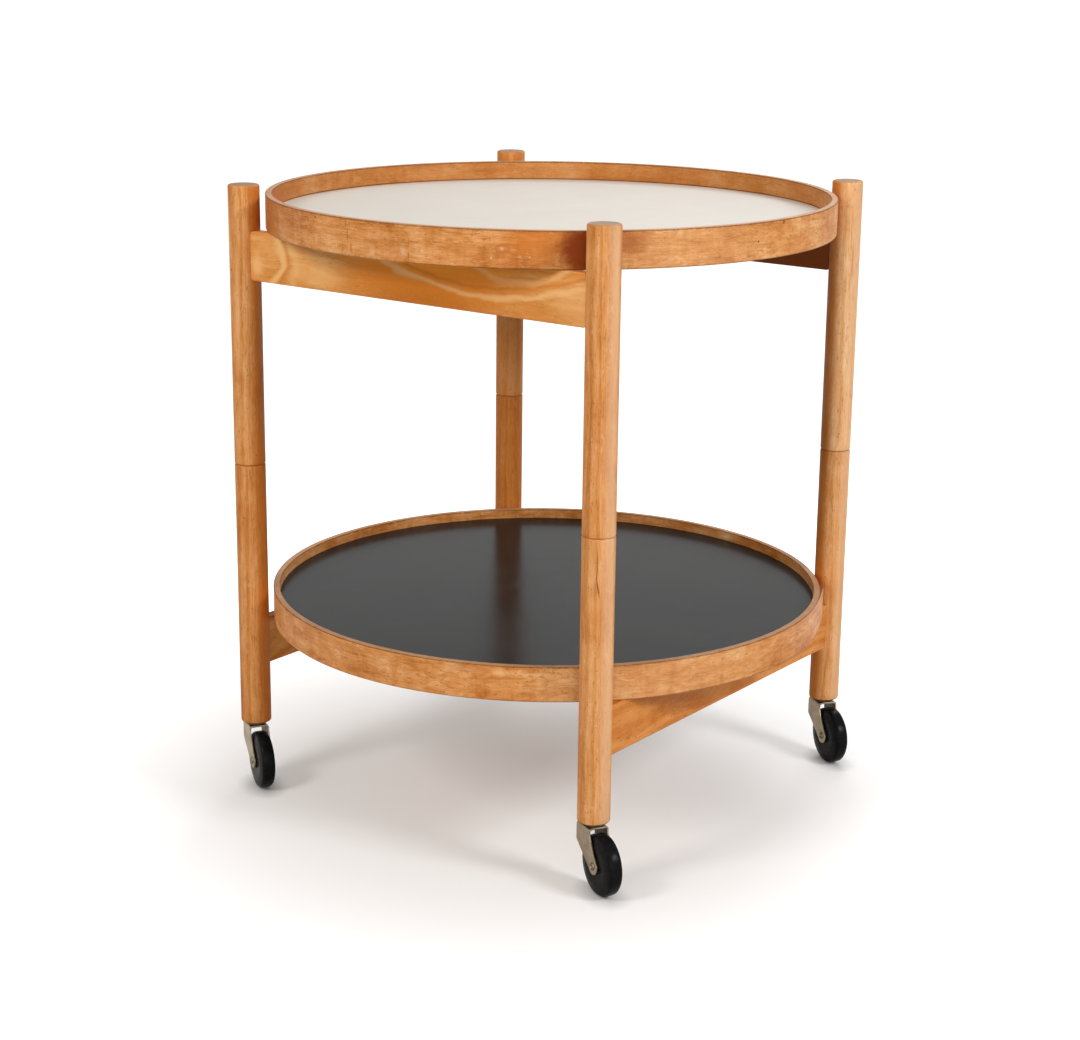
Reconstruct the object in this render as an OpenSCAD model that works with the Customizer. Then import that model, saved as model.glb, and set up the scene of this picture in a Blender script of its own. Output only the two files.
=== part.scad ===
// Round serving trolley: four split posts on casters, four rails and two reversible trays.
// Origin on the floor under the middle of the trays, +Z up, sizes in millimetres.
// The top rails run along X and the bottom rails along Y, so the bare frame can fold at the
// seam half way up each post.

/* [Frame] */
// Height of the post tops above the floor
overall_h = 600; // [540:1:660]
// Distance between neighbouring post axes
post_spacing = 415; // [380:1:450]
// Diameter of each post
post_d = 30; // [26:0.5:36]
// Height of the seam between the two halves of a post
seam_z = 330; // [300:1:360]
// Air gap at the seam
seam_gap = 0.4; // [0.2:0.1:1]
// Chamfer on both sides of the seam
seam_chamfer = 1; // [0.4:0.1:2]
// Radius of the eased edge at the top of a post
top_ease = 2; // [1:0.25:4]
// Radius of the eased edge at the foot of a post
foot_ease = 2.5; // [1:0.25:4]

/* [Rails] */
// Height of a rail
rail_h = 47; // [38:0.5:56]
// Thickness of a rail
rail_t = 13; // [10:0.5:18]
// Radius of a rail's corners at its ends
rail_corner_r = 3.5; // [1:0.5:8]
// Radius along a rail's long edges
rail_edge_r = 1.5; // [0.5:0.25:3]
// Height of the bottom rails' upper edge
bottom_rail_z = 169.5; // [155:0.5:200]
// Diameter of the dowels between rails and posts
dowel_d = 8; // [6:0.5:10]
// Distance between the two dowels of a joint
dowel_pitch = 24; // [18:0.5:28]
// Depth of a dowel in its post
dowel_in_post = 12; // [8:0.5:13]
// Depth of a dowel in its rail
dowel_in_rail = 20; // [12:1:30]

/* [Hinge pins] */
// Diameter of the pin inside each seam
pin_d = 10; // [8:0.5:12]
// Length of the pin in each half of the post
pin_reach = 42; // [30:1:60]
// Radial running clearance of the pin in the upper half
pin_fit = 0.05; // [0.02:0.01:0.09]

/* [Trays] */
// Clearance between a tray and the posts
tray_clearance = 4.9; // [3:0.1:8]
// Distance from the top tray's rim down from the post tops
tray_drop = 9; // [4:0.5:16]
// Height of a tray's bent rim
rim_h = 33.5; // [28:0.5:40]
// Thickness of a tray's bent rim
rim_t = 6.5; // [5:0.25:9]
// Radius of the rim's eased edges
rim_ease = 1.4; // [0.5:0.1:2.2]
// Depth of the deep side of a tray
tray_depth = 19; // [15:0.5:22]
// Thickness of the panel's wooden core
core_t = 3; // [2:0.25:5]
// Thickness of the laminate on each face of the core
laminate_t = 0.7; // [0.5:0.1:1.2]
// Depth of the groove that holds the core in the rim
groove_depth = 3; // [2:0.25:4]
// Radial clearance of the core in its groove
groove_gap = 0.2; // [0.1:0.05:0.5]
// Radial clearance of the laminate inside the rim
laminate_gap = 0.15; // [0.05:0.05:0.4]

/* [Casters] */
// Diameter of a wheel
wheel_d = 57; // [48:0.5:60]
// Width of a wheel over its hub
wheel_w = 16; // [13:0.5:20]
// Distance from the stem axis back to the axle
trail = 18; // [15:0.5:24]
// Gap between the wheel and the fork's top plate
wheel_headroom = 2.6; // [2:0.1:8]
// Gap between the wheel's hub and each ear of the fork
wheel_side_gap = 0.5; // [0.3:0.1:1]
// Sheet thickness of the fork
fork_t = 1.6; // [1.2:0.1:2.5]
// Length of the fork's top plate
plate_l = 24; // [20:0.5:30]
// Distance from the stem axis to the plate's rear edge
plate_back = 13.5; // [9:0.5:16]
// Outer radius of the bends between plate and ears
bend_r = 3.2; // [2.6:0.1:4.5]
// Radius of the rounded end of an ear
ear_end_r = 7.75; // [6:0.25:9]
// Height of an ear's straight rear edge under the plate
ear_rear_h = 15.5; // [8:0.5:20]
// Height of an ear's straight front edge under the plate
ear_front_h = 4.5; // [3:0.5:10]
// Diameter of the axle
axle_d = 5; // [4:0.25:6]
// Diameter of the riveted heads of the axle
axle_head_d = 7.6; // [6.5:0.1:10]
// Height of the axle's heads
axle_head_h = 1.4; // [0.8:0.1:2]
// Radial running clearance of the bush on the axle
axle_fit = 0.05; // [0.02:0.01:0.09]
// Wall of the steel bush in the wheel
bush_wall = 1.4; // [1:0.1:2]
// Wall of the wheel's hub round the bush
hub_wall = 4.5; // [3:0.25:6]
// Fall of the tread from its middle to its edges
tread_crown = 1.1; // [0.2:0.1:2]
// Radius of the tread's edges
tread_edge_r = 1; // [0.4:0.1:2]
// Fall of the wheel's domed side from its hub to the tread's edge
side_dome = 2.2; // [0.5:0.1:4]
// Diameter of the swivel stem
stem_d = 8; // [6:0.25:9]
// Length of the stem inside its socket
stem_len = 34; // [26:1:44]
// Radial running clearance of the stem in its socket
stem_fit = 0.05; // [0.02:0.01:0.09]
// Diameter of the bearing collar on the stem
collar_d = 17; // [14:0.5:20]
// Height of the bearing collar
collar_h = 1.6; // [1:0.1:3]
// Wall of the socket sleeve
socket_wall = 1.6; // [1:0.1:2.5]
// Diameter of the socket's flange
flange_d = 22; // [18:0.5:25]
// Thickness of the socket's flange
flange_t = 1.2; // [0.8:0.1:2]
// Heading of the left caster, 0 trails along +X
swivel_left = -31; // [-180:1:180]
// Heading of the front caster
swivel_front = -27; // [-180:1:180]
// Heading of the right caster
swivel_right = -33; // [-180:1:180]
// Heading of the back caster
swivel_back = -30; // [-180:1:180]

/* [Hidden] */

$fn = 96;
tray_fn = 240;
through = 1;                     // how far a cut runs past the face it opens

// Frame
half = post_spacing / 2;
post_r = post_d / 2;
LEFT = [-half, -half];
FRONT = [half, -half];
RIGHT = [half, half];
BACK = [-half, half];
foot_z = wheel_d + wheel_headroom + fork_t + collar_h + flange_t;
top_rail_z = overall_h - tray_drop - rim_h;
rail_end = sqrt(post_r * post_r - rail_t * rail_t / 4);
pin_end_gap = 1;
dowel_end_gap = 1;

// Trays
tray_r = post_spacing / sqrt(2) - post_r - tray_clearance;
panel_t = core_t + 2 * laminate_t;
shallow_depth = rim_h - tray_depth - panel_t;
core_z = shallow_depth + laminate_t;
well_r = tray_r - rim_t;
groove_r = well_r + groove_depth;

// Casters
wheel_r = wheel_d / 2;
plate_top = wheel_d + wheel_headroom + fork_t;
fork_in = wheel_w + 2 * wheel_side_gap;
fork_w = fork_in + 2 * fork_t;
bush_r = axle_d / 2 + axle_fit + bush_wall;
bush_len = fork_in - 0.6 * wheel_side_gap;
socket_r = stem_d / 2 + stem_fit + socket_wall;
stem_tail_d = 0.75 * stem_d;
stem_tail_head_d = 1.25 * stem_d;
stem_tail_head_h = 1.3;
stem_nose = 1.5;                 // cone at the upper end of the stem
hub_r = bush_r + hub_wall;
plate_front = plate_l - plate_back;
pin_chamfer = 0.8;
head_rim_h = 0.3 * axle_head_h;  // straight rim of a riveted head, below its dome

wood = [0.80, 0.56, 0.34];
wood_dark = [0.72, 0.47, 0.27];
steel = [0.62, 0.60, 0.55];
nickel = [0.55, 0.50, 0.42];
white_top = [0.90, 0.88, 0.84];
black_top = [0.08, 0.08, 0.09];
wheel_black = [0.05, 0.05, 0.05];

// Points of an arc about centre c, from angle a0 to a1, in n steps
function arc(c, r, a0, a1, n = 8) =
    [for (i = [0:n]) let (a = a0 + (a1 - a0) * i / n) c + r * [cos(a), sin(a)]];
// Points of a quadratic curve from p to q, pulled towards c, without its last point
function curve(p, c, q, n = 8) =
    [for (i = [0:n - 1]) let (t = i / n) (1 - t) * (1 - t) * p + 2 * t * (1 - t) * c + t * t * q];

// A w x h rectangle about the origin with round corners
module rounded_rect(w, h, r) {
    square([w - 2 * r, h], center = true);
    square([w, h - 2 * r], center = true);
    for (x = [-1, 1], y = [-1, 1])
        translate([x * (w / 2 - r), y * (h / 2 - r)]) circle(r);
}

// ---- Posts ----

// Two dowel bores or dowels, from along away from the post axis, pointing along +X
module dowel_pair(from, to, z) {
    for (s = [-1, 1])
        translate([from, 0, z + s * dowel_pitch / 2]) rotate([0, 90, 0])
            cylinder(d = dowel_d, h = to - from);
}

module upper_post(rail_angle) {
    z0 = seam_z + seam_gap / 2;
    color(wood) difference() {
        rotate_extrude() polygon(concat(
            [[0, z0], [post_r - seam_chamfer, z0], [post_r, z0 + seam_chamfer]],
            arc([post_r - top_ease, overall_h - top_ease], top_ease, 0, 90),
            [[0, overall_h]]));
        translate([0, 0, z0 - through])
            cylinder(d = pin_d + 2 * pin_fit, h = through + pin_reach + pin_end_gap);
        rotate([0, 0, rail_angle])
            dowel_pair(post_r - dowel_in_post - dowel_end_gap, post_d, top_rail_z - rail_h / 2);
    }
}

module lower_post(rail_angle) {
    z1 = seam_z - seam_gap / 2;
    color(wood) difference() {
        rotate_extrude() polygon(concat(
            [[0, foot_z]],
            arc([post_r - foot_ease, foot_z + foot_ease], foot_ease, -90, 0),
            [[post_r, z1 - seam_chamfer], [post_r - seam_chamfer, z1], [0, z1]]));
        translate([0, 0, z1 - pin_reach]) cylinder(d = pin_d, h = pin_reach + through);
        translate([0, 0, foot_z - through])
            cylinder(r = socket_r, h = through + stem_len + pin_end_gap);
        rotate([0, 0, rail_angle])
            dowel_pair(post_r - dowel_in_post - dowel_end_gap, post_d, bottom_rail_z - rail_h / 2);
    }
}

// Steel pin, fast in the lower half and turning in the upper one
module hinge_pin() {
    z0 = seam_z - seam_gap / 2 - pin_reach;
    z1 = seam_z + seam_gap / 2 + pin_reach;
    color(steel) rotate_extrude() polygon([
        [0, z0], [pin_d / 2 - pin_chamfer, z0], [pin_d / 2, z0 + pin_chamfer],
        [pin_d / 2, z1 - pin_chamfer], [pin_d / 2 - pin_chamfer, z1], [0, z1]]);
}

// ---- Rails ----

// Rail from one post axis to the next along +X, its upper edge at z = 0
module rail() {
    color(wood) difference() {
        intersection() {
            translate([0, 0, -rail_h / 2]) rotate([90, 0, 90])
                linear_extrude(post_spacing) rounded_rect(rail_t, rail_h, rail_edge_r);
            translate([half, rail_t, -rail_h / 2]) rotate([90, 0, 0])
                linear_extrude(2 * rail_t)
                    rounded_rect(post_spacing - 2 * rail_end, rail_h, rail_corner_r);
        }
        for (x = [0, post_spacing])
            translate([x, 0, -rail_h - through]) cylinder(r = post_r, h = rail_h + 2 * through);
        rail_dowels(dowel_end_gap);
    }
}

// The four dowels of a rail; gap deepens their holes
module rail_dowels(gap = 0) {
    reach = post_r + dowel_in_rail + gap;
    color(wood_dark) for (x = [0, 1])
        translate([x * post_spacing, 0, 0]) rotate([0, 0, 180 * x])
            dowel_pair(post_r - dowel_in_post, reach, -rail_h / 2);
}

// Places what is drawn along +X at post p, turned to heading a, at height z
module at(p, a = 0, z = 0) {
    translate([p[0], p[1], z]) rotate([0, 0, a]) children();
}

// ---- Trays ----

// A tray is drawn deep side up with its foot at z = 0
module tray_rim() {
    color(wood) rotate_extrude($fn = tray_fn) difference() {
        polygon(concat(
            arc([tray_r - rim_t + rim_ease, rim_ease], rim_ease, 180, 270, 6),
            arc([tray_r - rim_ease, rim_ease], rim_ease, 270, 360, 6),
            arc([tray_r - rim_ease, rim_h - rim_ease], rim_ease, 0, 90, 6),
            arc([tray_r - rim_t + rim_ease, rim_h - rim_ease], rim_ease, 90, 180, 6)));
        translate([0, core_z]) square([groove_r, core_t]);
    }
}

module tray_disc(r, z, h, colour) {
    color(colour) translate([0, 0, z]) cylinder(r = r, h = h, $fn = tray_fn);
}

module tray_core() tray_disc(groove_r - groove_gap, core_z, core_t, wood_dark);
module white_laminate() tray_disc(well_r - laminate_gap, core_z + core_t, laminate_t, white_top);
module black_laminate() tray_disc(well_r - laminate_gap, shallow_depth, laminate_t, black_top);

// Puts a tray on the top rails, white face up
module on_top_rails() {
    translate([0, 0, top_rail_z]) children();
}

// Puts a tray on the bottom rails turned over, black face up
module on_bottom_rails() {
    translate([0, 0, bottom_rail_z + rim_h]) rotate([180, 0, 0]) children();
}

// ---- Casters ----
// A caster is drawn with its stem on the Z axis and its wheel trailing along +X.

// Sleeve in the foot of the post, with a flange under it
module socket() {
    color(steel) difference() {
        union() {
            translate([0, 0, foot_z - flange_t]) cylinder(d = flange_d, h = flange_t);
            translate([0, 0, foot_z - flange_t]) cylinder(r = socket_r, h = flange_t + stem_len);
        }
        translate([0, 0, foot_z - flange_t - through])
            cylinder(d = stem_d + 2 * stem_fit, h = stem_len + flange_t + 2 * through);
    }
}

// Stem with its bearing collar, riveted through the fork's plate
module stem() {
    top = foot_z + stem_len;
    under = plate_top - fork_t;
    color(steel) rotate_extrude() polygon([
        [0, top], [stem_d / 2 - stem_nose, top], [stem_d / 2, top - stem_nose],
        [stem_d / 2, plate_top + collar_h], [collar_d / 2, plate_top + collar_h],
        [collar_d / 2, plate_top], [stem_tail_d / 2, plate_top], [stem_tail_d / 2, under],
        [stem_tail_head_d / 2, under], [stem_tail_d / 2, under - stem_tail_head_h],
        [0, under - stem_tail_head_h]]);
}

// Side view of the fork: a straight head that sweeps back and down to the axle
module ear_outline() {
    axle = [trail, wheel_r];
    rear_a = 212;                // where the two edges of the ear meet its round end
    front_a = 377;
    rear = axle + ear_end_r * [cos(rear_a), sin(rear_a)];
    front = axle + ear_end_r * [cos(front_a), sin(front_a)];
    head_rear = [-plate_back, plate_top - ear_rear_h];
    head_front = [plate_front, plate_top - ear_front_h];
    rear_bend = [-plate_back + 0.08 * plate_l, head_rear[1] - 0.2 * ear_rear_h];
    front_bend = [plate_front + 0.1 * plate_l, plate_top - 0.45 * (plate_top - wheel_r)];
    polygon(concat(
        [head_front, [plate_front, plate_top], [-plate_back, plate_top]],
        curve(head_rear, [-plate_back, rear_bend[1]], rear_bend, 4),
        arc(axle, ear_end_r, rear_a, front_a, 13),
        curve(front, front_bend, head_front)));
}

// Section of the bent sheet, looking along the trail
module fork_section() {
    difference() {
        translate([0, plate_top / 2]) rounded_rect(fork_w, plate_top, bend_r);
        translate([0, (plate_top - fork_t) / 2 - bend_r])
            rounded_rect(fork_in, plate_top - fork_t + 2 * bend_r, bend_r - fork_t);
    }
}

module fork() {
    color(nickel) difference() {
        intersection() {
            translate([0, fork_w, 0]) rotate([90, 0, 0])
                linear_extrude(2 * fork_w) ear_outline();
            translate([-plate_l, 0, 0]) rotate([90, 0, 90])
                linear_extrude(2 * plate_l + 2 * trail) fork_section();
        }
        cylinder(d = stem_tail_d, h = plate_top + through);
        on_axle() cylinder(d = axle_d, h = fork_w + 2 * through, center = true);
    }
}

// Puts what is drawn along Z on the axle
module on_axle() {
    translate([trail, 0, wheel_r]) rotate([90, 0, 0]) children();
}

// Axle riveted over on both ears
module axle() {
    edge = fork_w / 2;
    color(steel) on_axle() {
        cylinder(d = axle_d, h = fork_w, center = true);
        for (s = [0, 1]) mirror([0, 0, s]) rotate_extrude() polygon([
            [0, edge], [axle_head_d / 2, edge], [axle_head_d / 2, edge + head_rim_h],
            [0.36 * axle_head_d, edge + 0.8 * axle_head_h],
            [0.2 * axle_head_d, edge + axle_head_h], [0, edge + axle_head_h]]);
    }
}

module bush() {
    color(steel) on_axle() difference() {
        cylinder(r = bush_r, h = bush_len, center = true);
        cylinder(d = axle_d + 2 * axle_fit, h = bush_len + 2 * through, center = true);
    }
}

// One side of the wheel's section, from the hub out to the middle of the tread
function wheel_side() = let (
    edge_c = [wheel_r - tread_crown - tread_edge_r, wheel_w / 2 - side_dome - tread_edge_r],
    edge = arc(edge_c, tread_edge_r, 70, 12, 3)
) concat(
    [[bush_r, wheel_w / 2]],
    curve([hub_r, wheel_w / 2], [0.7 * wheel_r, wheel_w / 2], edge[0], 5),
    edge,
    [[wheel_r - 0.25 * tread_crown, wheel_w / 5], [wheel_r, wheel_w / 16]]);

module wheel() {
    side = wheel_side();
    color(wheel_black) on_axle() rotate_extrude() polygon(concat(
        side, [for (i = [len(side) - 1:-1:0]) [side[i][0], -side[i][1]]]));
}

at(LEFT) upper_post(0);  // upper_post_left
at(FRONT) upper_post(180);  // upper_post_front
at(RIGHT) upper_post(180);  // upper_post_right
at(BACK) upper_post(0);  // upper_post_back
at(LEFT) lower_post(90);  // lower_post_left
at(FRONT) lower_post(90);  // lower_post_front
at(RIGHT) lower_post(-90);  // lower_post_right
at(BACK) lower_post(-90);  // lower_post_back
at(LEFT) hinge_pin();  // hinge_pin_left
at(FRONT) hinge_pin();  // hinge_pin_front
at(RIGHT) hinge_pin();  // hinge_pin_right
at(BACK) hinge_pin();  // hinge_pin_back
at(LEFT, 0, top_rail_z) rail();  // top_rail_front
at(BACK, 0, top_rail_z) rail();  // top_rail_back
at(LEFT, 90, bottom_rail_z) rail();  // bottom_rail_left
at(FRONT, 90, bottom_rail_z) rail();  // bottom_rail_right
at(LEFT, 0, top_rail_z) rail_dowels();  // top_front_dowels
at(BACK, 0, top_rail_z) rail_dowels();  // top_back_dowels
at(LEFT, 90, bottom_rail_z) rail_dowels();  // bottom_left_dowels
at(FRONT, 90, bottom_rail_z) rail_dowels();  // bottom_right_dowels
on_top_rails() tray_rim();  // top_tray_rim
on_top_rails() tray_core();  // top_tray_core
on_top_rails() white_laminate();  // top_tray_white_laminate
on_top_rails() black_laminate();  // top_tray_black_laminate
on_bottom_rails() tray_rim();  // lower_tray_rim
on_bottom_rails() tray_core();  // lower_tray_core
on_bottom_rails() white_laminate();  // lower_tray_white_laminate
on_bottom_rails() black_laminate();  // lower_tray_black_laminate
at(LEFT) socket();  // socket_left
at(FRONT) socket();  // socket_front
at(RIGHT) socket();  // socket_right
at(BACK) socket();  // socket_back
at(LEFT, swivel_left) stem();  // stem_left
at(FRONT, swivel_front) stem();  // stem_front
at(RIGHT, swivel_right) stem();  // stem_right
at(BACK, swivel_back) stem();  // stem_back
at(LEFT, swivel_left) fork();  // fork_left
at(FRONT, swivel_front) fork();  // fork_front
at(RIGHT, swivel_right) fork();  // fork_right
at(BACK, swivel_back) fork();  // fork_back
at(LEFT, swivel_left) axle();  // axle_left
at(FRONT, swivel_front) axle();  // axle_front
at(RIGHT, swivel_right) axle();  // axle_right
at(BACK, swivel_back) axle();  // axle_back
at(LEFT, swivel_left) bush();  // bush_left
at(FRONT, swivel_front) bush();  // bush_front
at(RIGHT, swivel_right) bush();  // bush_right
at(BACK, swivel_back) bush();  // bush_back
at(LEFT, swivel_left) wheel();  // wheel_left
at(FRONT, swivel_front) wheel();  // wheel_front
at(RIGHT, swivel_right) wheel();  // wheel_right
at(BACK, swivel_back) wheel();  // wheel_back
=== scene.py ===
"""Round serving trolley: a wooden post-and-rail frame, two reversible round trays, four casters.

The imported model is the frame. Its pieces get their finishes here, and those whose looks need a
finer shape are modelled again: the wheels, forks, axles and lower front post, and the lapped ends
of the two bent hoops. The script also sets up the camera, the floor and the studio light.
"""

import logging
import math
from dataclasses import dataclass, field
from enum import Enum

import bmesh
import bpy
from mathutils import Matrix, Vector


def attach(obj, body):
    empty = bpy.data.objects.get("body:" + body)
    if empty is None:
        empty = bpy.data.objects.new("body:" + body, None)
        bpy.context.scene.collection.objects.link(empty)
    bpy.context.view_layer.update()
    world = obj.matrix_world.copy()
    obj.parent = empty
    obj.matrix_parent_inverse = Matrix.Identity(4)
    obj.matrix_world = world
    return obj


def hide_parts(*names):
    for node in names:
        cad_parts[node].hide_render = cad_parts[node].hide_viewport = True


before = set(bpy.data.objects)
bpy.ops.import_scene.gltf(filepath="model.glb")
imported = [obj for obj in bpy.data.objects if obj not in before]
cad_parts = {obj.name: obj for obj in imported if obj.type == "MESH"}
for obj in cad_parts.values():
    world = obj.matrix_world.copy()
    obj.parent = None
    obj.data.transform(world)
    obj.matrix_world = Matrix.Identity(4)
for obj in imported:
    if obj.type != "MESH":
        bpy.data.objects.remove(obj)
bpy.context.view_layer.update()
log = logging.getLogger("trolley")

Point = tuple[float, float, float]
Colour = tuple[float, float, float]
Piece = bpy.types.Object
Finish = bpy.types.Material
Socket = bpy.types.NodeSocket

MM = 0.001
IMAGE_W = 1080
SENSOR_MM = 36.0
ENDLESS = 3.0
POST_AXIS = 0.2075
POSTS: dict[str, tuple[float, float]] = {
    "left": (-POST_AXIS, -POST_AXIS),
    "front": (POST_AXIS, -POST_AXIS),
    "right": (POST_AXIS, POST_AXIS),
    "back": (-POST_AXIS, POST_AXIS),
}


# ---------------------------------------------------------------- shader bench


class NodeBench:
    """Builds one node tree, a few nodes at a time."""

    def __init__(self, owner: Finish | bpy.types.World, kind: str) -> None:
        """Starts an empty tree.

        Args:
            owner: the material or world that the tree belongs to.
            kind: Material or World, as its output node is called.
        """
        owner.use_nodes = True
        self.tree = owner.node_tree
        self.tree.nodes.clear()
        self.output = self.add("Output" + kind)

    def add(self, kind: str, inputs: dict | None = None, **settings: object) -> bpy.types.Node:
        """Adds a node.

        Args:
            kind: the node's type name without the leading ShaderNode.
            inputs: socket name or index, and the value or output socket it gets.
            settings: properties set on the node itself.

        Returns:
            The new node.
        """
        node = self.tree.nodes.new("ShaderNode" + kind)
        for key, value in settings.items():
            setattr(node, key, value)
        for key, value in (inputs or {}).items():
            self.put(node, key, value)
        return node

    def put(self, node: bpy.types.Node, key: str | int, value: object) -> None:
        """Gives a socket a value, or links another socket to it.

        Args:
            node: the node whose socket it is.
            key: the socket's name or number.
            value: a value, or the output socket that feeds it.
        """
        socket = node.inputs[key]
        if isinstance(value, Socket):
            self.tree.links.new(value, socket)
        elif socket.type == "RGBA" and len(value) == 3:
            socket.default_value = (*value, 1.0)
        else:
            socket.default_value = value

    def calc(self, operation: str, *values: object) -> Socket:
        """A number worked out from numbers or sockets.

        Args:
            operation: the Math node's operation.
            values: its inputs, in order.

        Returns:
            The result's socket.
        """
        node = self.add("Math", operation=operation)
        for i, value in enumerate(values):
            self.put(node, i, value)
        return node.outputs[0]

    def vector(self, operation: str, a: object, b: object = None) -> Socket:
        """A vector worked out from vectors, or the length of one.

        Args:
            operation: the Vector Math node's operation.
            a: its first input.
            b: its second input, if it has one.

        Returns:
            The result's socket.
        """
        inputs = {0: a} if b is None else {0: a, 1: b}
        node = self.add("VectorMath", inputs, operation=operation)
        return node.outputs["Value" if operation == "LENGTH" else "Vector"]

    def fit(self, value: object, low: float, high: float, to_low: float = 0.0,
            to_high: float = 1.0, soft: bool = False) -> Socket:
        """Maps a number from one range to another and clamps it.

        Args:
            value: the number.
            low: where its range starts.
            high: where its range ends.
            to_low: what the start becomes.
            to_high: what the end becomes.
            soft: whether both ends are eased.

        Returns:
            The result's socket.
        """
        node = self.add("MapRange", {"Value": value, "From Min": low, "From Max": high,
                                     "To Min": to_low, "To Max": to_high},
                        interpolation_type="SMOOTHSTEP" if soft else "LINEAR")
        return node.outputs["Result"]

    def ramp(self, value: Socket,
             stops: list[tuple[float, Colour]]) -> Socket:
        """A colour from a ramp.

        Args:
            value: where on the ramp, from 0 to 1.
            stops: the place and colour of each stop.

        Returns:
            The colour's socket.
        """
        node = self.add("ValToRGB", {"Fac": value})
        elements = node.color_ramp.elements
        while len(elements) < len(stops):
            elements.new(0.5)
        for element, (place, colour) in zip(elements, stops):
            element.position = place
            element.color = (*colour, 1.0)
        return node.outputs["Color"]

    def mix(self, factor: object, a: object, b: object) -> Socket:
        """Mixes two colours.

        Args:
            factor: the share of the second.
            a: the first colour.
            b: the second colour.

        Returns:
            The colour's socket.
        """
        node = self.add("Mix", data_type="RGBA")
        self.put(node, 0, factor)
        self.put(node, 6, a)
        self.put(node, 7, b)
        return node.outputs[2]

    def seen(self) -> Socket:
        """One for rays from the camera, straight or by a shine or glass, and nothing for the rest.

        Returns:
            The number's socket.
        """
        rays = self.add("LightPath").outputs
        share = rays["Is Camera Ray"]
        for other in ("Is Glossy Ray", "Is Transmission Ray"):
            share = self.calc("MAXIMUM", share, rays[other])
        return share

    def end(self, shader: Socket) -> None:
        """Ends the tree in a shader."""
        self.put(self.output, "Surface", shader)


class ShaderBench(NodeBench):
    """Builds one material, with patterns placed by the object's own coordinates."""

    def __init__(self, name: str) -> None:
        """Starts an empty material.

        Args:
            name: the material's name.
        """
        self.material = bpy.data.materials.new(name)
        super().__init__(self.material, "Material")
        self.place = self.add("TexCoord").outputs["Object"]

    def stretch(self, scale: Point, shift: Point = (0, 0, 0),
                turn: Point = (0, 0, 0)) -> Socket:
        """Object coordinates stretched, turned and shifted for a pattern.

        Args:
            scale: the factor along each axis.
            shift: the shift, after the scale.
            turn: the turn in degrees.

        Returns:
            The coordinate socket.
        """
        node = self.add("Mapping", {"Vector": self.place})
        node.inputs["Location"].default_value = shift
        node.inputs["Rotation"].default_value = [math.radians(a) for a in turn]
        node.inputs["Scale"].default_value = scale
        return node.outputs["Vector"]

    def noise(self, vector: Socket, scale: float, detail: float = 2.0,
              rough: float = 0.5, warp: float = 0.0) -> Socket:
        """A noise value over a coordinate socket.

        Args:
            vector: the coordinates.
            scale: how fine the noise is.
            detail: the octaves laid over it.
            rough: the weight of each octave against the one before.
            warp: how much it is distorted.

        Returns:
            The noise's socket.
        """
        node = self.add("TexNoise", {"Vector": vector, "Scale": scale, "Detail": detail,
                                     "Roughness": rough, "Distortion": warp})
        return node.outputs["Fac"]

    def noise_line(self, value: Socket, scale: float, detail: float) -> Socket:
        """A noise value along one number, as rings of growth are."""
        inputs = {"W": value, "Scale": scale, "Detail": detail}
        return self.add("TexNoise", inputs, noise_dimensions="1D").outputs["Fac"]

    def bump(self, height: Socket, distance: float, strength: float = 1.0,
             under: Socket | None = None) -> Socket:
        """A bumped normal.

        Args:
            height: the height socket.
            distance: what a height of one stands for, in metres.
            strength: how much of the bump shows.
            under: a normal that this bump is laid over.

        Returns:
            The normal socket.
        """
        node = self.add("Bump", {"Height": height, "Distance": distance, "Strength": strength})
        if under is not None:
            self.put(node, "Normal", under)
        return node.outputs["Normal"]

    def surface(self, **inputs: object) -> Finish:
        """Ends the tree in a principled shader.

        Args:
            inputs: the shader's sockets, with underscores for spaces.

        Returns:
            The finished material.
        """
        shader = self.add("BsdfPrincipled")
        for key, value in inputs.items():
            self.put(shader, key.replace("_", " "), value)
        self.end(shader.outputs[0])
        return self.material


# ---------------------------------------------------------------- finishes


class Grain(Enum):
    """Which way the fibres of a wooden piece run."""

    X = 0
    Y = 1
    Z = 2
    ROUND = 3

    def scale(self, along: float, across: float) -> Point:
        """The stretch that draws a pattern out along the fibres.

        Args:
            along: the factor along the fibres.
            across: the factor across them.

        Returns:
            The factor for each axis.
        """
        if self is Grain.ROUND:
            return (along, along, across)
        return tuple(along if i == self.value else across for i in range(3))


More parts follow.
